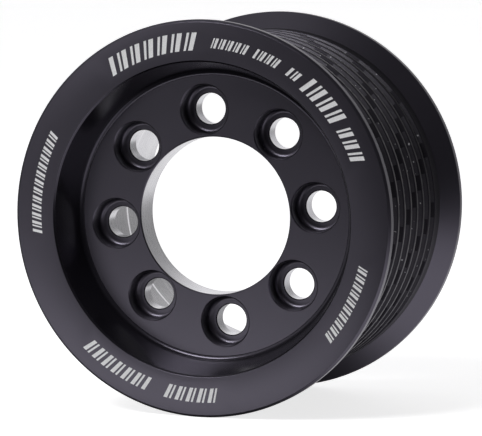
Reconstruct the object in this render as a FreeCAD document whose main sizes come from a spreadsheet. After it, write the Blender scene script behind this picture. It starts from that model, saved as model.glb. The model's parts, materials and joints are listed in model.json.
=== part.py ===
"""A flanged poly-V belt pulley that bolts to a hub.

The axis lies along Y, the front face looks towards -Y, and the origin is the
middle of the pulley. The real pulley is cut from one billet. Its four turned
regions are separate bodies that meet face to face: the two flanges, the
grooved drum between them, and the web that carries the screws.

Every profile is drawn as distance along the axis, measured back from the
body's own front plane, against radius.
"""

import FreeCAD, Part
import os
import re
import Sketcher

SIZES = {
    # drum and belt grooves
    "drum_diameter": 60.96,
    "groove_count": 8,
    "groove_pitch": 3.56,
    "groove_depth": 2.83,
    "groove_root": 0.6,
    "groove_angle": 40,
    "end_land": 2.26,
    # flanges: a straight rim, then a cone down to the drum
    "flange_height": 2.86,
    "flange_foot": 4.5,
    "rim_width": 1.7,
    "rim_chamfer": 0.4,
    # pilot bore
    "bore_diameter": 26.7,
    "bore_front_chamfer": 0.2,
    "bore_rear_chamfer": 0.8,
    # counterbored screw holes round the bore
    "screw_count": 8,
    "screw_turn": 6,
    "screw_hole": 5.3,
    "screw_seat": 8.4,
    "screw_seat_depth": 3.1,
    "screw_edge_chamfer": 0.2,
    "screw_to_bore": 0.45,
    "screw_to_rim": 1.45,
    # web that the screws pull against the hub, with a ledge of the drum round it
    "web_thickness": 6.2,
    "web_ledge": 0.8,
    # recess in the front face, with a tapered wall
    "recess_depth": 7.2,
    "recess_draft": 14.9,
    "recess_chamfer": 0.3,
    "recess_fillet": 0.8,
    # cavity behind the web, and the wider register at its mouth
    "cavity_clearance": 0.25,
    "cavity_fillet": 0.8,
    "register_step": 0.6,
    "register_depth": 7.0,
    "register_chamfer": 0.5,
    # how far a cutting profile runs past the metal
    "overcut": 0.5,
}

# Sizes that follow from the ones above. The hub's screws set the width of the
# web, and the recess and the cavity fit round it. The belt sets the drum.
FORMULAS = {
    "drum_radius": "drum_diameter / 2",
    "flange_radius": "drum_diameter / 2 + flange_height",
    "drum_length": "groove_count * groove_pitch + 2 * end_land",
    "overall_width": "drum_length + 2 * flange_foot",
    "bore_radius": "bore_diameter / 2",
    "screw_circle_radius": "bore_radius + screw_to_bore + screw_seat / 2",
    "web_radius": "screw_circle_radius + screw_seat / 2 + screw_to_rim",
    "recess_floor_radius": "web_radius + web_ledge",
    "cavity_radius": "recess_floor_radius + cavity_clearance",
    "register_radius": "cavity_radius + register_step",
}

# How near an edge's place and radius have to be to the ones asked for.
TOLERANCE = 0.001
# The sketch's own vertical axis and origin, as constraints name them.
VERTICAL_AXIS = -2
ORIGIN = (-1, 1)


def make_sheet(doc):
    """The spreadsheet that holds every driving size."""
    sheet = doc.addObject("Spreadsheet::Sheet", "sizes")
    for row, (alias, value) in enumerate(SIZES.items(), start=1):
        sheet.set(f"A{row}", alias)
        sheet.set(f"B{row}", str(value))
        sheet.setAlias(f"B{row}", alias)
    doc.recompute()


def bound(expression):
    """The expression in the sheet's own cells, with each formula written out."""
    def in_cells(match):
        word = match.group()
        if word in FORMULAS:
            return f"({bound(FORMULAS[word])})"
        return f"sizes.{word}" if word in SIZES else word
    return re.sub("[a-z_]+", in_cells, expression)


def measure(doc, *expressions):
    """A point in a sketch, from expressions in the named sizes."""
    sheet = doc.getObject("sizes")
    values = [float(sheet.evalExpression(bound(expression))) for expression in expressions]
    return FreeCAD.Vector(values[0], values[1], 0)


def origin_feature(body, role):
    """One of the body's own origin planes or axes."""
    return next(item for item in body.Origin.OriginFeatures if item.Role == role)


def make_body(doc, name, front_plane):
    """An empty body, with its front plane at the given place along the axis."""
    body = doc.addObject("PartDesign::Body", name)
    body.Label = name
    body.setExpression("Placement.Base.y", bound(front_plane))
    return body


def make_sketch(body, name, plane):
    """An empty sketch on one of the body's origin planes."""
    sketch = body.newObject("Sketcher::SketchObject", name)
    sketch.AttachmentSupport = (origin_feature(body, plane), [""])
    sketch.MapMode = "FlatFace"
    sketch.Visibility = False
    return sketch


def constrain(sketch, expression, *constraint):
    """Adds a constraint whose value is tied to the sheet."""
    index = sketch.addConstraint(Sketcher.Constraint(*constraint))
    sketch.setExpression(f"Constraints[{index}]", bound(expression))


def draw_outline(sketch, corners):
    """A closed outline. Each corner is its distance along the axis and its radius."""
    places = [measure(sketch.Document, *corner) for corner in corners]
    following = [*range(1, len(corners)), 0]
    for start, end in enumerate(following):
        sketch.addGeometry(Part.LineSegment(places[start], places[end]), False)
    for start, end in enumerate(following):
        sketch.addConstraint(Sketcher.Constraint("Coincident", start, 2, end, 1))
    for line, (along, radius) in enumerate(corners):
        if along == "0":
            sketch.addConstraint(Sketcher.Constraint("PointOnObject", line, 1, VERTICAL_AXIS))
        else:
            constrain(sketch, along, "DistanceX", *ORIGIN, line, 1, places[line].x)
        constrain(sketch, radius, "DistanceY", *ORIGIN, line, 1, places[line].y)


def turn(body, kind, name, corners):
    """Turns an outline once round the axis, to add metal or to cut it."""
    sketch = make_sketch(body, f"{name}_outline", "YZ_Plane")
    draw_outline(sketch, corners)
    feature = body.newObject(f"PartDesign::{kind}", name)
    feature.Profile = sketch
    feature.ReferenceAxis = (sketch, ["H_Axis"])
    feature.Angle = 360
    body.Document.recompute()
    return feature


def circles_at(feature, along, radius):
    """The names of the feature's circles at one distance along the axis, with one radius."""
    place = measure(feature.Document, along, radius)
    names = []
    for index, edge in enumerate(feature.Shape.Edges, start=1):
        curve = edge.Curve
        if not isinstance(curve, Part.Circle):
            continue
        if abs(curve.Center.y - place.x) > TOLERANCE or abs(curve.Radius - place.y) > TOLERANCE:
            continue
        names.append(f"Edge{index}")
    if not names:
        raise RuntimeError(f"{feature.Name} has no circle at {along} of radius {radius}")
    return names


def fillet(body, name, base, edges, radius):
    """Rounds some edges of the feature before."""
    feature = body.newObject("PartDesign::Fillet", name)
    feature.Base = (base, edges)
    feature.setExpression("Radius", bound(radius))
    body.Document.recompute()
    return feature


def chamfer(body, name, base, edges, size):
    """Breaks some edges of the feature before."""
    feature = body.newObject("PartDesign::Chamfer", name)
    feature.Base = (base, edges)
    feature.setExpression("Size", bound(size))
    body.Document.recompute()
    return feature


def check_cut(before, feature):
    """Stops the build when a cut has removed nothing."""
    if feature.Shape.Volume >= before.Shape.Volume - TOLERANCE:
        raise RuntimeError(f"{feature.Name} cut nothing")


def recess_radius(along):
    """The radius of the recess's tapered wall at a distance from the front face."""
    return f"recess_floor_radius + (recess_depth - {along}) * tan(recess_draft * 1 deg)"


def make_front_flange(doc):
    """The flange round the front face, with the mouth of the recess."""
    body = make_body(doc, "front_flange", "-overall_width / 2")
    turn(body, "Revolution", "front_ring", [
        ("0", f"{recess_radius('recess_chamfer')} + recess_chamfer"),
        ("0", "flange_radius - rim_chamfer"),
        ("rim_chamfer", "flange_radius"),
        ("rim_width", "flange_radius"),
        ("flange_foot", "drum_radius"),
        ("flange_foot", recess_radius("flange_foot")),
        ("recess_chamfer", recess_radius("recess_chamfer")),
    ])
    return body


def make_rear_flange(doc):
    """The flange at the back, round the register that takes the hub."""
    body = make_body(doc, "rear_flange", "overall_width / 2 - flange_foot")
    turn(body, "Revolution", "rear_ring", [
        ("0", "register_radius"),
        ("0", "drum_radius"),
        ("flange_foot - rim_width", "flange_radius"),
        ("flange_foot - rim_chamfer", "flange_radius"),
        ("flange_foot", "flange_radius - rim_chamfer"),
        ("flange_foot", "register_radius + register_chamfer"),
        ("flange_foot - register_chamfer", "register_radius"),
    ])
    return body


def make_drum(doc):
    """The drum between the flanges: recess wall, ledge, cavity wall and belt grooves."""
    body = make_body(doc, "ribbed_drum", "flange_foot - overall_width / 2")
    web_front = "recess_depth - flange_foot"
    web_rear = f"{web_front} + web_thickness"
    register = "drum_length + flange_foot - register_depth"
    ring = turn(body, "Revolution", "drum_ring", [
        ("0", "drum_radius"),
        ("drum_length", "drum_radius"),
        ("drum_length", "register_radius"),
        (register, "register_radius"),
        (register, "cavity_radius"),
        (web_rear, "cavity_radius"),
        (web_rear, "web_radius"),
        (web_front, "web_radius"),
        (web_front, "recess_floor_radius"),
        ("0", recess_radius("flange_foot")),
    ])
    corner = circles_at(ring, web_front, "recess_floor_radius")
    recess_root = fillet(body, "recess_root", ring, corner, "recess_fillet")
    corner = circles_at(recess_root, web_rear, "cavity_radius")
    cavity_root = fillet(body, "cavity_root", recess_root, corner, "cavity_fillet")
    cut_grooves(body, cavity_root)
    return body


def cut_grooves(body, base):
    """The belt grooves: one, cut round the drum, then repeated at the belt's pitch."""
    centre = "end_land + groove_pitch / 2"
    root = "groove_root / 2"
    mouth = f"{root} + (groove_depth + overcut) * tan(groove_angle / 2 * 1 deg)"
    groove = turn(body, "Groove", "belt_groove", [
        (f"{centre} - {root}", "drum_radius - groove_depth"),
        (f"{centre} + {root}", "drum_radius - groove_depth"),
        (f"{centre} + ({mouth})", "drum_radius + overcut"),
        (f"{centre} - ({mouth})", "drum_radius + overcut"),
    ])
    check_cut(base, groove)
    grooves = body.newObject("PartDesign::LinearPattern", "belt_grooves")
    grooves.Originals = [groove]
    grooves.Direction = (origin_feature(body, "Y_Axis"), [""])
    grooves.setExpression("Length", bound("(groove_count - 1) * groove_pitch"))
    grooves.setExpression("Occurrences", bound("groove_count"))
    body.Tip = grooves
    body.Document.recompute()
    check_cut(groove, grooves)


def make_web(doc):
    """The flat web that bears on the hub, with the pilot bore and the screw holes."""
    body = make_body(doc, "bolt_web", "recess_depth - overall_width / 2")
    disc = turn(body, "Revolution", "web_disc", [
        ("0", "bore_radius + bore_front_chamfer"),
        ("0", "web_radius"),
        ("web_thickness", "web_radius"),
        ("web_thickness", "bore_radius + bore_rear_chamfer"),
        ("web_thickness - bore_rear_chamfer", "bore_radius"),
        ("bore_front_chamfer", "bore_radius"),
    ])
    through = cut_round(body, disc, "screw_hole", "web_thickness + overcut")
    seat = cut_round(body, through, "screw_seat", "screw_seat_depth")
    holes = body.newObject("PartDesign::PolarPattern", "screw_holes")
    holes.Originals = [through, seat]
    holes.Axis = (origin_feature(body, "Y_Axis"), [""])
    holes.Angle = 360
    holes.setExpression("Occurrences", bound("screw_count"))
    body.Tip = holes
    doc.recompute()
    check_cut(seat, holes)
    rims = circles_at(holes, "0", "screw_seat / 2")
    chamfer(body, "screw_seat_edges", holes, rims, "screw_edge_chamfer")
    return body


def cut_round(body, base, diameter, depth):
    """One round pocket on the screw circle, from the web's front face."""
    across = "screw_circle_radius * cos(screw_turn * 1 deg)"
    up = "screw_circle_radius * sin(screw_turn * 1 deg)"
    centre = measure(body.Document, across, up)
    sketch = make_sketch(body, f"{diameter}_circle", "XZ_Plane")
    sketch.addGeometry(Part.Circle(centre, FreeCAD.Vector(0, 0, 1), SIZES[diameter] / 2), False)
    constrain(sketch, diameter, "Diameter", 0, SIZES[diameter])
    constrain(sketch, across, "DistanceX", *ORIGIN, 0, 3, centre.x)
    constrain(sketch, up, "DistanceY", *ORIGIN, 0, 3, centre.y)
    pocket = body.newObject("PartDesign::Pocket", f"{diameter}_pocket")
    pocket.Profile = sketch
    pocket.Type = "Length"
    pocket.setExpression("Length", bound(depth))
    body.Document.recompute()
    check_cut(base, pocket)
    return pocket


def check_document(doc, bodies):
    """Stops the build when a feature has failed or a body isn't one sound solid."""
    for item in doc.Objects:
        if "Invalid" in item.State or "Error" in item.State:
            raise RuntimeError(f"{item.Name} failed: {item.State}")
    for body in bodies:
        if body.Shape.isNull() or not body.Shape.isValid() or len(body.Shape.Solids) != 1:
            raise RuntimeError(f"{body.Label} isn't one valid solid")


def main():
    doc = FreeCAD.newDocument("BeltPulley")
    make_sheet(doc)
    bodies = [make_front_flange(doc), make_drum(doc), make_rear_flange(doc), make_web(doc)]
    doc.recompute()
    check_document(doc, bodies)
    os.makedirs("parts", exist_ok=True)
    for body in bodies:
        body.Shape.exportStep(f"parts/{body.Label}.step")
        print(f"{body.Label}: {body.Shape.Volume:.1f} mm3")


main()
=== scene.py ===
"""The looks of a flanged belt pulley: detailed meshes and finishes over the CAD model.

Each CAD node is replaced by one closed mesh of the same shape, with broken
edges, rounded groove roots, the grip texture of the grooves and the etched
marks of the face. The axis lies along Y and the front face looks towards -Y.
"""

import json
import math
import random
import bmesh
import bpy
from mathutils import Matrix, Vector
from mathutils.geometry import delaunay_2d_cdt


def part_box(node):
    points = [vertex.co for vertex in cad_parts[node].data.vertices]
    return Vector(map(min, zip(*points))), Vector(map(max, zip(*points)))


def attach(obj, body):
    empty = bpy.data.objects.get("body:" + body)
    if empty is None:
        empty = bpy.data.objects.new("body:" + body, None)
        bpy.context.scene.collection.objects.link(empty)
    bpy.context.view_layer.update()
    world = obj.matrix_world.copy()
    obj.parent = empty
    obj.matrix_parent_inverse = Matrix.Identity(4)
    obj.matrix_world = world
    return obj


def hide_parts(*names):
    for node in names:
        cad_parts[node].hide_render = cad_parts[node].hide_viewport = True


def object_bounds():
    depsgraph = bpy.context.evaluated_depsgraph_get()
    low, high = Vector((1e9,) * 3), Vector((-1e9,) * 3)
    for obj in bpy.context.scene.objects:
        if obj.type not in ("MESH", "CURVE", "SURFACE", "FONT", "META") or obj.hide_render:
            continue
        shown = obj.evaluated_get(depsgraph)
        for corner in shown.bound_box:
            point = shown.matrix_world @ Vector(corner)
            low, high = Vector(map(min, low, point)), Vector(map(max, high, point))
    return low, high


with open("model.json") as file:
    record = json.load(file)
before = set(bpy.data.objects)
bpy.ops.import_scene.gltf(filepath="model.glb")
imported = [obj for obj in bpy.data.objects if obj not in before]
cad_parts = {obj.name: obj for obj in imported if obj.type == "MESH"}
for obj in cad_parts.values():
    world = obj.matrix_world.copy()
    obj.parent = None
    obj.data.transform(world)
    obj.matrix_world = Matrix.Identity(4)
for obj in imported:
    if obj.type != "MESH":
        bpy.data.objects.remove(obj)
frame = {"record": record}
cad_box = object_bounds()

MM = 0.001

# How finely a full turn, a screw hole and a rounded corner are divided.
SEGMENTS = 432
HOLE_SEGMENTS = 96
ROUND_STEPS = 3
HOLE_ROUND_STEPS = 4
# A point just beside a rounding keeps the stretch next to it flat: how far off it
# stands, as a share of the rounding's reach and at most.
HOLD_SHARE = 0.3
HOLD_MOST = 0.05 * MM
# Edges that turn by more than this show as sharp.
SHARP_ANGLE = math.radians(28)
# Points of a mesh, and corners of a flat face, that lie this close are one.
MERGE_DISTANCE = 1e-7
FLAT_TOLERANCE = 1e-9

# Sizes read from the frame.
MOUNTS = {mount["name"]: mount for mount in frame["record"]["mounts"]}
FRONT_LOW, FRONT_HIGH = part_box("front_flange")
REAR_LOW, REAR_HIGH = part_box("rear_flange")
_, DRUM_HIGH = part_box("ribbed_drum")
WEB_LOW, WEB_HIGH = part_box("bolt_web")
FRONT, REAR = FRONT_LOW.y, REAR_HIGH.y
FRONT_FOOT, REAR_FOOT = FRONT_HIGH.y, REAR_LOW.y
WEB_FRONT, WEB_REAR = WEB_LOW.y, WEB_HIGH.y
FLANGE_RADIUS = FRONT_HIGH.x
DRUM_RADIUS = DRUM_HIGH.x
WEB_RADIUS = WEB_HIGH.x
BORE_RADIUS = MOUNTS["pilot_bore"]["dims"]["r_mm"] * MM
REGISTER_RADIUS = MOUNTS["rear_register"]["dims"]["r_mm"] * MM
SCREW_CIRCLE_RADIUS = MOUNTS["bolt_circle"]["dims"]["pcd_mm"] / 2 * MM
SCREW_COUNT = MOUNTS["bolt_circle"]["dims"]["count"]
SCREW_HOLE_RADIUS = MOUNTS["bolt_circle"]["dims"]["hole_r_mm"] * MM

# Sizes that the frame doesn't name, as the CAD model has them.
RIM_WIDTH = 1.7 * MM
RIM_CHAMFER = 0.4 * MM
RECESS_DRAFT = math.radians(14.9)
RECESS_CHAMFER = 0.3 * MM
RECESS_FILLET = 0.8 * MM
RECESS_FLOOR_RADIUS = WEB_RADIUS + 0.8 * MM
CAVITY_RADIUS = REGISTER_RADIUS - 0.6 * MM
CAVITY_FILLET = 0.8 * MM
REGISTER_DEPTH = 7.0 * MM
REGISTER_CHAMFER = 0.5 * MM
BORE_FRONT_CHAMFER = 0.2 * MM
BORE_REAR_CHAMFER = 0.8 * MM
SCREW_TURN = math.radians(6)
SEAT_RADIUS = 4.2 * MM
SEAT_DEPTH = 3.1 * MM
SEAT_CHAMFER = 0.2 * MM
GROOVE_COUNT = 8
GROOVE_PITCH = 3.56 * MM
GROOVE_DEPTH = 2.83 * MM
GROOVE_ROOT = 0.6 * MM
GROOVE_ANGLE = math.radians(40)
GROOVE_CENTRE = (FRONT_FOOT + REAR_FOOT) / 2

# Details that only the looks have.
EDGE_BREAK = 0.08 * MM
RIM_BREAK = 0.2 * MM
STEP_BREAK = 0.3 * MM
CREST_ROUND = 0.22 * MM
ROOT_ROUND = 0.36 * MM
SEAT_ROOT = 0.7 * MM
HOLE_BREAK = 0.16 * MM
ETCH_DEPTH = 0.03 * MM
# The fine turned land inside the cavity: how far in from the rear face it reaches,
# the length of the ramp at its end, its rise, and the roundings of the ramp.
LAND_DEPTH = 12.3 * MM
LAND_RAMP = 1.0 * MM
LAND_RISE = 0.16 * MM
LAND_ROUND = 1.0 * MM
# The grip texture: how deep it is sunk, how far it rises and falls from there, and
# the seed of its random heights.
GRIP_DEPTH = 0.035 * MM
GRIP_ROUGHNESS = 0.02 * MM
GRIP_SEED = 24
# The smooth patches in it: how many there are round a groove, the share of the groove
# that they fill, where the middle of one lies in the front groove, and how far round
# each groove's patches lie from those of the groove in front.
PATCHES_PER_TURN = 18
PATCH_SHARE = 0.25
PATCH_START = math.radians(-35.6)
PATCH_STAGGER = math.radians(5)


# ---------------------------------------------------------------- finishes

# Noise lies mostly between these, so a colour or roughness runs from one to the other.
NOISE_LOW, NOISE_HIGH = 0.3, 0.7
# How much slower the turning marks change round a ring than across the rings.
RING_DRIFT = 0.02

# The clear gloss over the black skin is faintly violet, and less so in the grip.
SKIN_IOR = 1.62
SKIN_TINT = (0.86, 0.80, 1.0, 1)
GRIP_TINT = (0.9, 0.86, 1.0, 1)
SPECK_COLOUR = (0.5, 0.5, 0.52, 1)
WHITE = (1, 1, 1, 1)


def new_material(name):
    """An empty material and its principled shader."""
    material = bpy.data.materials.new(name)
    material.use_nodes = True
    nodes = material.node_tree.nodes
    nodes.clear()
    output = nodes.new("ShaderNodeOutputMaterial")
    shader = nodes.new("ShaderNodeBsdfPrincipled")
    link(material, shader.outputs["BSDF"], output.inputs["Surface"])
    return material, shader


def link(material, source, target):
    material.node_tree.links.new(source, target)


def math_node(material, operation, first, second=None):
    """The output of a Math node. Each input is a socket or a number."""
    node = material.node_tree.nodes.new("ShaderNodeMath")
    node.operation = operation
    for socket, value in zip(node.inputs, (first, second)):
        if value is None:
            continue
        if isinstance(value, (int, float)):
            socket.default_value = value
        else:
            link(material, value, socket)
    return node.outputs[0]


def place_socket(material):
    """The point itself, in the piece's own frame."""
    return material.node_tree.nodes.new("ShaderNodeTexCoord").outputs["Object"]


def noise(material, vector, size, detail=2.0, roughness=0.5):
    """Noise whose grains are about the given size across."""
    node = material.node_tree.nodes.new("ShaderNodeTexNoise")
    node.inputs["Scale"].default_value = 1 / size
    node.inputs["Detail"].default_value = detail
    node.inputs["Roughness"].default_value = roughness
    link(material, vector, node.inputs["Vector"])
    return node.outputs["Fac"]


def turning_marks(material, pitch):
    """Fine rings round the axis, as a lathe tool leaves them."""
    nodes = material.node_tree.nodes
    parts = nodes.new("ShaderNodeSeparateXYZ")
    link(material, place_socket(material), parts.inputs[0])
    x, along, z = parts.outputs
    squares = [math_node(material, "MULTIPLY", part, part) for part in (x, z)]
    radius = math_node(material, "SQRT", math_node(material, "ADD", *squares))
    vector = nodes.new("ShaderNodeCombineXYZ")
    link(material, math_node(material, "ADD", radius, along), vector.inputs["X"])
    link(material, math_node(material, "MULTIPLY", x, RING_DRIFT), vector.inputs["Y"])
    link(material, math_node(material, "MULTIPLY", z, RING_DRIFT), vector.inputs["Z"])
    return noise(material, vector.outputs[0], size=pitch, detail=3.0, roughness=0.6)


def ramp(material, value, low, high, start=NOISE_LOW, end=NOISE_HIGH):
    """A colour or grey between two, as value goes from start to end."""
    node = material.node_tree.nodes.new("ShaderNodeValToRGB")
    node.color_ramp.elements[0].position = start
    node.color_ramp.elements[1].position = end
    node.color_ramp.elements[0].color = (*low, 1)
    node.color_ramp.elements[1].color = (*high, 1)
    link(material, value, node.inputs["Fac"])
    return node.outputs["Color"]


def spread(material, value, low, high):
    """A number between two, as noise goes from its low to its high."""
    node = material.node_tree.nodes.new("ShaderNodeMapRange")
    node.inputs["From Min"].default_value = NOISE_LOW
    node.inputs["From Max"].default_value = NOISE_HIGH
    node.inputs["To Min"].default_value = low
    node.inputs["To Max"].default_value = high
    link(material, value, node.inputs["Value"])
    return node.outputs["Result"]


def mix_colours(material, blend, factor, first, second):
    """The output of a colour Mix node. The factor and second are sockets or values."""
    node = material.node_tree.nodes.new("ShaderNodeMix")
    node.data_type = "RGBA"
    node.blend_type = blend
    link(material, first, node.inputs["A"])
    for name, value in (("Factor", factor), ("B", second)):
        if isinstance(value, bpy.types.NodeSocket):
            link(material, value, node.inputs[name])
        else:
            node.inputs[name].default_value = value
    return node.outputs["Result"]


def bump(material, shader, layers):
    """Stacks height layers of (height, depth in metres) on the shader's normal."""
    normal = None
    for height, depth in layers:
        node = material.node_tree.nodes.new("ShaderNodeBump")
        node.inputs["Strength"].default_value = 1.0
        node.inputs["Distance"].default_value = depth
        link(material, height, node.inputs["Height"])
        if normal is not None:
            link(material, normal, node.inputs["Normal"])
        normal = node.outputs["Normal"]
    link(material, normal, shader.inputs["Normal"])


def anodised(name, dark, light, roughness, grain_depth, ring_depth, shine):
    """Black anodising: a dark skin over turned metal, with a fine grain."""
    material, shader = new_material(name)
    place = place_socket(material)
    cloud = noise(material, place, size=7 * MM, detail=3.0)
    grain = noise(material, place, size=0.12 * MM)
    rings = turning_marks(material, pitch=0.09 * MM)
    colour = ramp(material, cloud, low=dark, high=light)
    link(material, colour, shader.inputs["Base Color"])
    link(material, spread(material, grain, *roughness), shader.inputs["Roughness"])
    shader.inputs["IOR"].default_value = SKIN_IOR
    shader.inputs["Specular IOR Level"].default_value = shine
    shader.inputs["Specular Tint"].default_value = SKIN_TINT
    bump(material, shader, [(rings, ring_depth), (grain, grain_depth)])
    return material


def make_satin():
    """The satin black of the faces and the flanges."""
    return anodised("black_satin", dark=(0.0045, 0.0041, 0.0056),
                    light=(0.0068, 0.0062, 0.0082), roughness=(0.30, 0.38),
                    grain_depth=0.0012 * MM, ring_depth=0.0006 * MM, shine=0.9)


def make_gloss():
    """The smoother black of the recess's wall and the screw holes' front edges."""
    return anodised("black_gloss", dark=(0.0045, 0.0041, 0.0056),
                    light=(0.0066, 0.0060, 0.0080), roughness=(0.19, 0.26),
                    grain_depth=0.0006 * MM, ring_depth=0.0008 * MM, shine=0.5)


def make_crest():
    """The black of the drum's crests, dulled along with the grooves between them."""
    return anodised("black_crest", dark=(0.0085, 0.0080, 0.0095),
                    light=(0.0120, 0.0112, 0.0135), roughness=(0.34, 0.44),
                    grain_depth=0.0012 * MM, ring_depth=0.0006 * MM, shine=0.28)


def make_patch():
    """The smooth dark patches between the grip texture."""
    return anodised("black_patch", dark=(0.0130, 0.0122, 0.0145),
                    light=(0.0180, 0.0170, 0.0200), roughness=(0.34, 0.42),
                    grain_depth=0.0005 * MM, ring_depth=0.0006 * MM, shine=0.2)


def make_grip():
    """The grip texture in the grooves: pitted, dusty black with a few bright specks."""
    material, shader = new_material("black_grip")
    place = place_socket(material)
    pits = noise(material, place, size=0.16 * MM, detail=3.0, roughness=0.7)
    grain = noise(material, place, size=0.06 * MM, detail=1.0)
    cloud = noise(material, place, size=3 * MM)
    specks = noise(material, place, size=0.42 * MM, detail=0.0)
    skin = ramp(material, pits, low=(0.010, 0.0095, 0.0115), high=(0.036, 0.034, 0.040))
    shade = ramp(material, cloud, low=(0.75, 0.75, 0.75), high=(1.1, 1.1, 1.1))
    shaded = mix_colours(material, "MULTIPLY", 1.0, skin, shade)
    # Only the peaks of the noise are specks.
    fleck = ramp(material, specks, low=(0, 0, 0), high=(1, 1, 1), start=0.80, end=0.83)
    flecked = mix_colours(material, "MIX", fleck, shaded, SPECK_COLOUR)
    link(material, flecked, shader.inputs["Base Color"])
    link(material, spread(material, pits, low=0.34, high=0.52), shader.inputs["Roughness"])
    shader.inputs["Specular IOR Level"].default_value = 0.8
    shader.inputs["Specular Tint"].default_value = GRIP_TINT
    bump(material, shader, [(pits, 0.012 * MM), (grain, 0.004 * MM)])
    return material


def make_bare():
    """Bare aluminium as the cutting tool left it."""
    material, shader = new_material("bare_metal")
    rings = turning_marks(material, pitch=0.11 * MM)
    fine = turning_marks(material, pitch=0.03 * MM)
    cloud = noise(material, place_socket(material), size=5 * MM, detail=3.0)
    colour = ramp(material, cloud, low=(0.70, 0.70, 0.715), high=(0.80, 0.80, 0.81))
    link(material, colour, shader.inputs["Base Color"])
    link(material, spread(material, rings, low=0.24, high=0.36), shader.inputs["Roughness"])
    shader.inputs["Metallic"].default_value = 1.0
    bump(material, shader, [(rings, 0.0022 * MM), (fine, 0.0008 * MM)])
    return material


def make_etched():
    """Laser marking: the dye burnt out of the skin in fine close lines."""
    material, shader = new_material("etched_mark")
    place = place_socket(material)
    lines = material.node_tree.nodes.new("ShaderNodeTexWave")
    lines.bands_direction = "DIAGONAL"
    lines.inputs["Scale"].default_value = 1 / (1.2 * MM)
    lines.inputs["Distortion"].default_value = 0.6
    link(material, place, lines.inputs["Vector"])
    grain = noise(material, place, size=0.1 * MM)
    colour = ramp(material, grain, low=(0.74, 0.74, 0.75), high=(0.92, 0.92, 0.93))
    link(material, colour, shader.inputs["Base Color"])
    link(material, spread(material, grain, low=0.5, high=0.65), shader.inputs["Roughness"])
    bump(material, shader, [(lines.outputs["Fac"], 0.002 * MM), (grain, 0.002 * MM)])
    return material


def make_floor_material():
    """A pale matt table top, which glows a little so that it comes out nearly white."""
    material, shader = new_material("pale_floor")
    cloud = noise(material, place_socket(material), size=300 * MM)
    colour = ramp(material, cloud, low=(0.83, 0.83, 0.835), high=(0.86, 0.86, 0.865))
    link(material, colour, shader.inputs["Base Color"])
    shader.inputs["Emission Color"].default_value = WHITE
    shader.inputs["Emission Strength"].default_value = 0.76
    link(material, spread(material, cloud, low=0.6, high=0.7), shader.inputs["Roughness"])
    return material


FINISHES = {
    "satin": make_satin(),
    "gloss": make_gloss(),
    "patch": make_patch(),
    "crest": make_crest(),
    "grip": make_grip(),
    "bare": make_bare(),
    "etched": make_etched(),
}


# ---------------------------------------------------------------- outlines

def round_corner(before, corner, after, radius, steps):
    """The points of an arc in a corner, with one more just outside each end of it."""
    back = (before - corner).normalized()
    ahead = (after - corner).normalized()
    half = back.angle(ahead) / 2
    reach = radius / math.tan(half)
    centre = corner + (back + ahead).normalized() * (radius / math.sin(half))
    start = corner + back * reach - centre
    end = corner + ahead * reach - centre
    sweep = start.angle_signed(end)
    hold = min(HOLD_SHARE * reach, HOLD_MOST)
    points = [corner + back * (reach + hold)]
    for step in range(steps + 1):
        turn = Matrix.Rotation(-sweep * step / steps, 2)
        points.append(centre + turn @ start)
    points.append(corner + ahead * (reach + hold))
    return points


def outline(corners, steps=ROUND_STEPS):
    """Points of (along, radius, finish of the stretch after it), with rounded corners.

    A corner is (along, radius, corner radius, finish of the stretch after it). Where an
    outline isn't closed, its two ends have a corner radius of 0.
    """
    places = [Vector(corner[:2]) for corner in corners]
    points = []
    for index, (_, _, radius, finish) in enumerate(corners):
        if radius == 0:
            points.append((*places[index], finish))
            continue
        before = places[index - 1]
        after = places[(index + 1) % len(corners)]
        arc = round_corner(before, places[index], after, radius, steps)
        points += [(*point, finish) for point in arc]
    return points


# ---------------------------------------------------------------- mesh making

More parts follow.
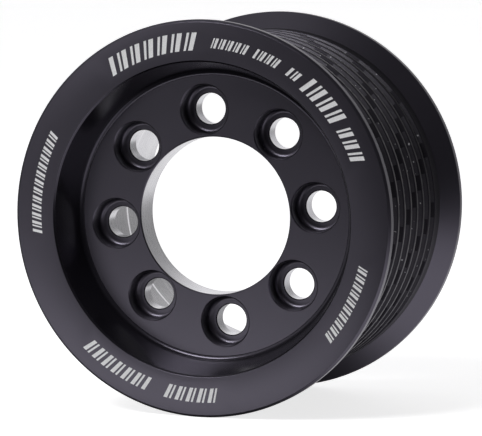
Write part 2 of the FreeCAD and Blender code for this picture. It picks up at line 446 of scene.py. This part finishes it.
class Skin:
    """Vertices and faces of one piece, each face with its finish."""

    def __init__(self):
        self.verts = []
        self.faces = []
        self.finishes = []
        self.smooth = []

    def add_verts(self, points):
        first = len(self.verts)
        self.verts += points
        return first

    def add_face(self, corners, finish, smooth=True):
        self.faces.append(corners)
        self.finishes.append(finish)
        self.smooth.append(smooth)

    def turned(self, points, segments=SEGMENTS, centre=(0.0, 0.0), closed=True, shape=None):
        """Turns an outline round an axis along Y.

        A closed outline's last point joins its first. shape may move a point and choose
        a face's finish by its place and angle.
        """
        step = 2 * math.pi / segments
        rings = []
        for number, (along, radius, _) in enumerate(points):
            ring = []
            for turn in range(segments):
                angle = turn * step
                here = shape.radius(number, angle, radius) if shape else radius
                ring.append((centre[0] + here * math.cos(angle), along,
                             centre[1] + here * math.sin(angle)))
            rings.append(self.add_verts(ring))
        count = len(points) if closed else len(points) - 1
        for number in range(count):
            first, second = rings[number], rings[(number + 1) % len(points)]
            for turn in range(segments):
                following = (turn + 1) % segments
                finish = points[number][2]
                if shape:
                    middle = (turn + 0.5) * step
                    finish = shape.finish(number, middle, finish)
                corners = (first + turn, second + turn, second + following, first + following)
                self.add_face(corners, finish)

    def flat(self, along, outer, inner, finish, holes=(), marks=()):
        """A flat face square to the axis, with holes through it and marks sunk in it.

        outer and inner are radii; holes and marks are loops of (x, z).
        """
        loops = [ring_loop(outer), ring_loop(inner), *holes, *marks]
        first_mark = 2 + len(holes)
        points = []
        areas = []
        for loop in loops:
            first = len(points)
            points += [Vector(point) for point in loop]
            areas.append(list(range(first, len(points))))
        result = delaunay_2d_cdt(points, [], areas, 0, FLAT_TOLERANCE)
        places, _, faces, _, _, loops_round = result
        level = self.add_verts([(place.x, along, place.y) for place in places])
        sunk = self.add_verts([(place.x, along + ETCH_DEPTH, place.y) for place in places])
        for corners, inside in zip(faces, loops_round):
            # Nothing is kept beyond the outer circle, in the inner one or in a hole.
            if 0 not in inside or any(0 < loop < first_mark for loop in inside):
                continue
            in_mark = len(inside) > 1
            if in_mark:
                self.add_face(tuple(sunk + corner for corner in corners), "etched", False)
            else:
                self.add_face(tuple(level + corner for corner in corners), finish, False)
        for loop in marks:
            top = self.add_verts([(x, along, z) for x, z in loop])
            base = self.add_verts([(x, along + ETCH_DEPTH, z) for x, z in loop])
            for number in range(len(loop)):
                following = (number + 1) % len(loop)
                corners = (top + number, top + following, base + following, base + number)
                self.add_face(corners, "etched", False)

    def to_object(self, name, node):
        """Makes the piece, on its body and in its CAD node's place."""
        mesh = bpy.data.meshes.new(name)
        mesh.from_pydata(self.verts, [], self.faces)
        used = sorted(set(self.finishes))
        for finish in used:
            mesh.materials.append(FINISHES[finish])
        indices = [used.index(finish) for finish in self.finishes]
        mesh.polygons.foreach_set("material_index", indices)
        mesh.polygons.foreach_set("use_smooth", self.smooth)
        tidy(mesh)
        piece = bpy.data.objects.new(name, mesh)
        bpy.context.scene.collection.objects.link(piece)
        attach(piece, "root")
        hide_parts(node)


def tidy(mesh):
    """Joins the loops that meet, drops loose points and turns every face outwards."""
    work = bmesh.new()
    work.from_mesh(mesh)
    bmesh.ops.remove_doubles(work, verts=work.verts, dist=MERGE_DISTANCE)
    loose = [vert for vert in work.verts if not vert.link_faces]
    bmesh.ops.delete(work, geom=loose, context="VERTS")
    bmesh.ops.recalc_face_normals(work, faces=work.faces)
    open_edges = [edge for edge in work.edges if len(edge.link_faces) != 2]
    if open_edges:
        print(f"{mesh.name}: {len(open_edges)} open edges")
    work.to_mesh(mesh)
    work.free()
    mesh.set_sharp_from_angle(angle=SHARP_ANGLE)


def ring_loop(radius, segments=SEGMENTS, centre=(0.0, 0.0)):
    """A circle as a loop of (x, z), with the same corners as a turned ring."""
    step = 2 * math.pi / segments
    return [(centre[0] + radius * math.cos(turn * step),
             centre[1] + radius * math.sin(turn * step))
            for turn in range(segments)]


def screw_centres():
    """Where the screw holes stand, as (x, z)."""
    for number in range(SCREW_COUNT):
        angle = SCREW_TURN + number * 2 * math.pi / SCREW_COUNT
        yield SCREW_CIRCLE_RADIUS * math.cos(angle), SCREW_CIRCLE_RADIUS * math.sin(angle)


def recess_radius(along):
    """The radius of the recess's tapered wall at one place along the axis."""
    return RECESS_FLOOR_RADIUS + (WEB_FRONT - along) * math.tan(RECESS_DRAFT)


# ---------------------------------------------------------------- etched marks

# Each mark is a run of slanted bars that says nothing: where it starts and ends
# (degrees, anticlockwise seen from the front) and how tall it is.
LARGE = (28.2 * MM, 31.2 * MM)
MEDIUM = (28.4 * MM, 30.8 * MM)
SMALL = (28.7 * MM, 30.4 * MM)
MARKS = [
    (92.5, 124.0, LARGE),
    (74.0, 87.0, SMALL),
    (62.6, 71.6, SMALL),
    (54.5, 59.0, SMALL),
    (36.0, 52.5, LARGE),
    (21.6, 34.0, MEDIUM),
    (-39.7, -12.6, SMALL),
    (-101.0, -82.5, MEDIUM),
    (-132.0, -107.0, MEDIUM),
    (153.0, 187.0, SMALL),
]
# Shares of a mark's height: how far apart its bars are and how far they lean.
BAR_PITCH = 0.40
BAR_LEAN = 0.30
# Shares of the pitch that a thick and a thin bar fill.
BAR_SHARES = (0.68, 0.36)
# How many straight steps a bar's head and foot each have.
BAR_STEPS = 2


def bar_loop(start, end, foot, head):
    """One leaning bar between two angles and two radii, as a loop of (x, z)."""
    lean = BAR_LEAN * (head - foot) / head
    angles = [start + (end - start) * step / BAR_STEPS for step in range(BAR_STEPS + 1)]
    heads = [(head * math.cos(angle - lean), head * math.sin(angle - lean)) for angle in angles]
    feet = [(foot * math.cos(angle), foot * math.sin(angle)) for angle in reversed(angles)]
    return heads + feet


def mark_loops():
    """Every bar of every mark."""
    loops = []
    for start, end, (foot, head) in MARKS:
        start, end = math.radians(start), math.radians(end)
        count = round((end - start) * foot / (BAR_PITCH * (head - foot)))
        pitch = (end - start) / count
        for number in range(count):
            low = start + number * pitch
            high = low + pitch * BAR_SHARES[number % len(BAR_SHARES)]
            loops.append(bar_loop(low, high, foot, head))
    return loops


# ---------------------------------------------------------------- pieces

def make_front_flange():
    """The front flange: face with etched marks, rim, cone and the recess's mouth."""
    mouth = FRONT + RECESS_CHAMFER
    corners = [
        (FRONT, FLANGE_RADIUS - RIM_CHAMFER, EDGE_BREAK, "satin"),
        (FRONT + RIM_CHAMFER, FLANGE_RADIUS, RIM_BREAK, "satin"),
        (FRONT + RIM_WIDTH, FLANGE_RADIUS, RIM_BREAK, "satin"),
        (FRONT_FOOT, DRUM_RADIUS, 0, "satin"),
        (FRONT_FOOT, recess_radius(FRONT_FOOT), 0, "gloss"),
        (mouth, recess_radius(mouth), EDGE_BREAK, "gloss"),
        (FRONT, recess_radius(mouth) + RECESS_CHAMFER, EDGE_BREAK, "satin"),
    ]
    # The first and last points lie on the face, which is made flat by itself.
    body = outline(corners)[1:-1]
    skin = Skin()
    skin.turned(body, closed=False)
    skin.flat(FRONT, body[0][1], body[-1][1], "satin", marks=mark_loops())
    skin.to_object("front_flange_metal", "front_flange")


class GroovedSurface:
    """Sinks the grip texture into the drum's grooves and leaves the smooth patches."""

    def __init__(self, points):
        self.rows = [self.row_of(point) for point in points]
        self.dice = random.Random(GRIP_SEED)

    def row_of(self, point):
        """Which groove a point of the outline lies in, or None outside the grooves."""
        along, _, finish = point
        if finish != "grip":
            return None
        return round((along - GROOVE_CENTRE) / GROOVE_PITCH + (GROOVE_COUNT - 1) / 2)

    def in_patch(self, row, angle):
        """Whether a place in a groove lies in one of its smooth patches."""
        start = PATCH_START + row * PATCH_STAGGER
        turn = (angle - start) * PATCHES_PER_TURN / (2 * math.pi)
        return (turn + PATCH_SHARE / 2) % 1 < PATCH_SHARE

    def radius(self, number, angle, radius):
        """The radius of a point of the surface, sunk and roughened where the grip is."""
        row = self.rows[number]
        if row is None or self.in_patch(row, angle):
            return radius
        return radius - GRIP_DEPTH + self.dice.uniform(-GRIP_ROUGHNESS, GRIP_ROUGHNESS)

    def finish(self, number, angle, finish):
        """The finish of a face: a groove's own, or the patch's where one lies."""
        if finish != "grip":
            return finish
        return "patch" if self.in_patch(self.rows[number], angle) else "grip"


def groove_corners():
    """The corners of the drum's grooves, from the front one to the rear one."""
    corners = []
    half_root = GROOVE_ROOT / 2
    half_mouth = half_root + GROOVE_DEPTH * math.tan(GROOVE_ANGLE / 2)
    floor = DRUM_RADIUS - GROOVE_DEPTH
    for number in range(GROOVE_COUNT):
        centre = GROOVE_CENTRE + (number - (GROOVE_COUNT - 1) / 2) * GROOVE_PITCH
        corners += [
            (centre - half_mouth, DRUM_RADIUS, CREST_ROUND, "grip"),
            (centre - half_root, floor, ROOT_ROUND, "grip"),
            (centre + half_root, floor, ROOT_ROUND, "grip"),
            (centre + half_mouth, DRUM_RADIUS, CREST_ROUND, "crest"),
        ]
    return corners


def make_drum():
    """The grooved drum, with the recess's wall, the ledge and the bare cavity inside."""
    step = REAR - REGISTER_DEPTH
    corners = [
        (FRONT_FOOT, DRUM_RADIUS, 0, "satin"),
        *groove_corners(),
        (REAR_FOOT, DRUM_RADIUS, 0, "satin"),
        (REAR_FOOT, REGISTER_RADIUS, 0, "bare"),
        (step, REGISTER_RADIUS, 0, "bare"),
        (step, CAVITY_RADIUS + LAND_RISE, STEP_BREAK, "bare"),
        (REAR - LAND_DEPTH, CAVITY_RADIUS + LAND_RISE, LAND_ROUND, "bare"),
        (REAR - LAND_DEPTH - LAND_RAMP, CAVITY_RADIUS, LAND_ROUND, "bare"),
        (WEB_REAR, CAVITY_RADIUS, CAVITY_FILLET, "bare"),
        (WEB_REAR, WEB_RADIUS, 0, "bare"),
        (WEB_FRONT, WEB_RADIUS, 0, "satin"),
        (WEB_FRONT, RECESS_FLOOR_RADIUS, RECESS_FILLET, "gloss"),
        (FRONT_FOOT, recess_radius(FRONT_FOOT), 0, "gloss"),
    ]
    points = outline(corners)
    skin = Skin()
    skin.turned(points, shape=GroovedSurface(points))
    skin.to_object("ribbed_drum_metal", "ribbed_drum")


def make_rear_flange():
    """The rear flange: cone, rim and rear face, round the bare register."""
    corners = [
        (REAR_FOOT, REGISTER_RADIUS, 0, "satin"),
        (REAR_FOOT, DRUM_RADIUS, 0, "satin"),
        (REAR - RIM_WIDTH, FLANGE_RADIUS, RIM_BREAK, "satin"),
        (REAR - RIM_CHAMFER, FLANGE_RADIUS, RIM_BREAK, "satin"),
        (REAR, FLANGE_RADIUS - RIM_CHAMFER, EDGE_BREAK, "satin"),
        (REAR, REGISTER_RADIUS + REGISTER_CHAMFER, EDGE_BREAK, "bare"),
        (REAR - REGISTER_CHAMFER, REGISTER_RADIUS, EDGE_BREAK, "bare"),
    ]
    skin = Skin()
    skin.turned(outline(corners))
    skin.to_object("rear_flange_metal", "rear_flange")


def make_web():
    """The web: flat faces, the pilot bore and the counterbored screw holes."""
    bore = outline([
        (WEB_FRONT, BORE_RADIUS + BORE_FRONT_CHAMFER, 0, "satin"),
        (WEB_FRONT + BORE_FRONT_CHAMFER, BORE_RADIUS, EDGE_BREAK, "bare"),
        (WEB_REAR - BORE_REAR_CHAMFER, BORE_RADIUS, EDGE_BREAK, "bare"),
        (WEB_REAR, BORE_RADIUS + BORE_REAR_CHAMFER, 0, "bare"),
    ])
    seat_floor = WEB_FRONT + SEAT_DEPTH
    hole = outline([
        (WEB_FRONT, SEAT_RADIUS + SEAT_CHAMFER, 0, "satin"),
        (WEB_FRONT + SEAT_CHAMFER, SEAT_RADIUS, EDGE_BREAK, "satin"),
        (seat_floor, SEAT_RADIUS, SEAT_ROOT, "satin"),
        (seat_floor, SCREW_HOLE_RADIUS + HOLE_BREAK, 0, "gloss"),
        (seat_floor + HOLE_BREAK, SCREW_HOLE_RADIUS, 0, "bare"),
        (WEB_REAR - HOLE_BREAK, SCREW_HOLE_RADIUS, 0, "bare"),
        (WEB_REAR, SCREW_HOLE_RADIUS + HOLE_BREAK, 0, "bare"),
    ], steps=HOLE_ROUND_STEPS)
    rim = [(WEB_FRONT, WEB_RADIUS, "satin"), (WEB_REAR, WEB_RADIUS, "satin")]
    skin = Skin()
    skin.turned(bore, closed=False)
    skin.turned(rim, closed=False)
    for centre in screw_centres():
        skin.turned(hole, HOLE_SEGMENTS, centre, closed=False)
    front = [ring_loop(hole[0][1], HOLE_SEGMENTS, centre) for centre in screw_centres()]
    rear = [ring_loop(hole[-1][1], HOLE_SEGMENTS, centre) for centre in screw_centres()]
    skin.flat(WEB_FRONT, WEB_RADIUS, bore[0][1], "satin", holes=front)
    skin.flat(WEB_REAR, WEB_RADIUS, bore[-1][1], "bare", holes=rear)
    skin.to_object("bolt_web_metal", "bolt_web")


# ---------------------------------------------------------------- studio

FLOOR_SIZE = 12.0

# Where the camera stands, seen from the point that it aims at.
CAMERA_AZIMUTH = math.radians(20.0)
CAMERA_ELEVATION = math.radians(5.45)
CAMERA_DISTANCE = 17.146 * FLANGE_RADIUS
CAMERA_LENS = 256.06
# How far right of and above the front face's centre the camera aims.
CAMERA_AIM_RIGHT = 0.2069 * FLANGE_RADIUS
CAMERA_AIM_UP = 0.008 * FLANGE_RADIUS

# Directions that light comes from, each with the cosines where it starts and is full.
OVERHEAD = ((0, 0, 1), 0.2, 0.5)
UNDERFOOT = ((0, 0, -1), 0.15, 0.35)
LEFT_SIDE = ((-1, 0, 0), -0.2, 0.4)
RIGHT_SIDE = ((1, 0, 0), 0.1, 0.5)
# The white backdrop lies straight behind the pulley, as the camera sees it.
BACKDROP = ((-0.340, 0.935, -0.095), 0.74, 0.93)
# The drum's right side mirrors these two to the camera, its crests the first and its
# grooves' flanks the second.
BACK_RIGHT = ((0.34, 0.94, 0), 0.6, 0.95)
RIGHT_PATCH = ((0.87, 0.48, 0.1), 0.93, 0.99)
# Each glow: how bright it is, and the directions that it lies in, all at once.
GLOWS = [
    (0.05, OVERHEAD),
    (0.22, OVERHEAD, LEFT_SIDE),
    (0.92, BACKDROP),
    (1.05, UNDERFOOT, RIGHT_SIDE),
    (0.18, BACK_RIGHT),
    (0.15, RIGHT_PATCH),
]
BASE_BRIGHTNESS = 0.03
# The colour of the light, and of the plain backdrop that the camera sees instead.
LIGHT_COLOUR = (0.985, 0.975, 1.0, 1)
SEEN_COLOUR = (0.98, 0.98, 0.98, 1)


def make_floor():
    """A plain pale floor that the flanges stand on."""
    half = FLOOR_SIZE / 2
    level = cad_box[0].z
    corners = [(-half, -half), (half, -half), (half, half), (-half, half)]
    mesh = bpy.data.meshes.new("floor")
    mesh.from_pydata([(x, y, level) for x, y in corners], [], [(0, 1, 2, 3)])
    mesh.materials.append(make_floor_material())
    floor = bpy.data.objects.new("floor", mesh)
    bpy.context.scene.collection.objects.link(floor)
    # The surround has the floor's own glow in it, so the floor only shows in the picture.
    floor.visible_diffuse = False
    floor.visible_glossy = False
    floor.visible_shadow = False


def make_light(name, place, aim, size, power):
    """A soft rectangular lamp that doesn't show in the picture itself."""
    data = bpy.data.lights.new(name, "AREA")
    data.shape = "RECTANGLE"
    data.size, data.size_y = size
    data.energy = power
    lamp = bpy.data.objects.new(name, data)
    lamp.location = place
    lamp.rotation_euler = (Vector(aim) - Vector(place)).to_track_quat("-Z", "Y").to_euler()
    lamp.visible_camera = False
    bpy.context.scene.collection.objects.link(lamp)


def make_lights():
    """A soft key from above, and small cards in front: low, over it and on the left."""
    make_light("key", place=(-0.25, -0.60, 0.70), aim=(0, 0, 0), size=(0.35, 0.35),
               power=5.0)
    make_light("low_card", place=(-0.08, -0.17, -0.06), aim=(-0.08, 0, -0.06),
               size=(0.15, 0.045), power=0.042)
    make_light("face_card", place=(-0.085, -0.17, 0.045), aim=(-0.085, 0, 0.045),
               size=(0.05, 0.05), power=0.010)
    make_light("left_card", place=(-0.22, -0.16, 0.03), aim=(0, 0, 0),
               size=(0.20, 0.15), power=0.040)


class StudioSurround:
    """A soft light field, described by the direction that the light comes from."""

    def __init__(self):
        world = bpy.data.worlds.new("studio")
        bpy.context.scene.world = world
        world.use_nodes = True
        self.nodes = world.node_tree.nodes
        self.links = world.node_tree.links
        self.nodes.clear()
        self.direction = self.nodes.new("ShaderNodeTexCoord").outputs["Generated"]

    def toward(self, aim, start, full):
        """From 0 to 1 as a direction turns towards the aim."""
        dot = self.nodes.new("ShaderNodeVectorMath")
        dot.operation = "DOT_PRODUCT"
        dot.inputs[1].default_value = Vector(aim).normalized()
        self.links.new(self.direction, dot.inputs[0])
        step = self.nodes.new("ShaderNodeMapRange")
        step.interpolation_type = "SMOOTHSTEP"
        step.inputs["From Min"].default_value = start
        step.inputs["From Max"].default_value = full
        self.links.new(dot.outputs["Value"], step.inputs["Value"])
        return step.outputs[0]

    def combine(self, operation, first, second):
        """The output of a Math node. Each input is a socket or a number."""
        node = self.nodes.new("ShaderNodeMath")
        node.operation = operation
        for socket, value in zip(node.inputs, (first, second)):
            if isinstance(value, float):
                socket.default_value = value
            else:
                self.links.new(value, socket)
        return node.outputs[0]

    def finish(self, brightness):
        """Lights the scene with the brightness, behind a plain pale backdrop."""
        lit = self.nodes.new("ShaderNodeBackground")
        self.links.new(brightness, lit.inputs["Strength"])
        lit.inputs["Color"].default_value = LIGHT_COLOUR
        seen = self.nodes.new("ShaderNodeBackground")
        seen.inputs["Color"].default_value = SEEN_COLOUR
        path = self.nodes.new("ShaderNodeLightPath")
        mix = self.nodes.new("ShaderNodeMixShader")
        self.links.new(path.outputs["Is Camera Ray"], mix.inputs["Fac"])
        self.links.new(lit.outputs[0], mix.inputs[1])
        self.links.new(seen.outputs[0], mix.inputs[2])
        output = self.nodes.new("ShaderNodeOutputWorld")
        self.links.new(mix.outputs[0], output.inputs["Surface"])


def make_world():
    """Adds the glows up into the light field."""
    studio = StudioSurround()
    brightness = BASE_BRIGHTNESS
    for strength, *places in GLOWS:
        glow = strength
        for place in places:
            glow = studio.combine("MULTIPLY", studio.toward(*place), glow)
        brightness = studio.combine("ADD", glow, brightness)
    studio.finish(brightness)


def make_camera():
    """The camera, at the photograph's angle."""
    data = bpy.data.cameras.new("camera")
    data.lens = CAMERA_LENS
    data.clip_start = 0.01
    data.clip_end = 100
    camera = bpy.data.objects.new("camera", data)
    outward = math.cos(CAMERA_ELEVATION)
    back = Vector((math.sin(CAMERA_AZIMUTH) * outward,
                   -math.cos(CAMERA_AZIMUTH) * outward,
                   math.sin(CAMERA_ELEVATION)))
    right = Vector((math.cos(CAMERA_AZIMUTH), math.sin(CAMERA_AZIMUTH), 0))
    up = back.cross(right)
    aim = Vector((0, FRONT, 0)) + right * CAMERA_AIM_RIGHT + up * CAMERA_AIM_UP
    turn = Matrix((right, up, back)).transposed().to_4x4()
    camera.matrix_world = Matrix.Translation(aim + back * CAMERA_DISTANCE) @ turn
    bpy.context.scene.collection.objects.link(camera)
    bpy.context.scene.camera = camera


make_front_flange()
make_drum()
make_rear_flange()
make_web()
make_floor()
make_lights()
make_world()
make_camera()
bpy.context.scene.view_settings.view_transform = "Standard"
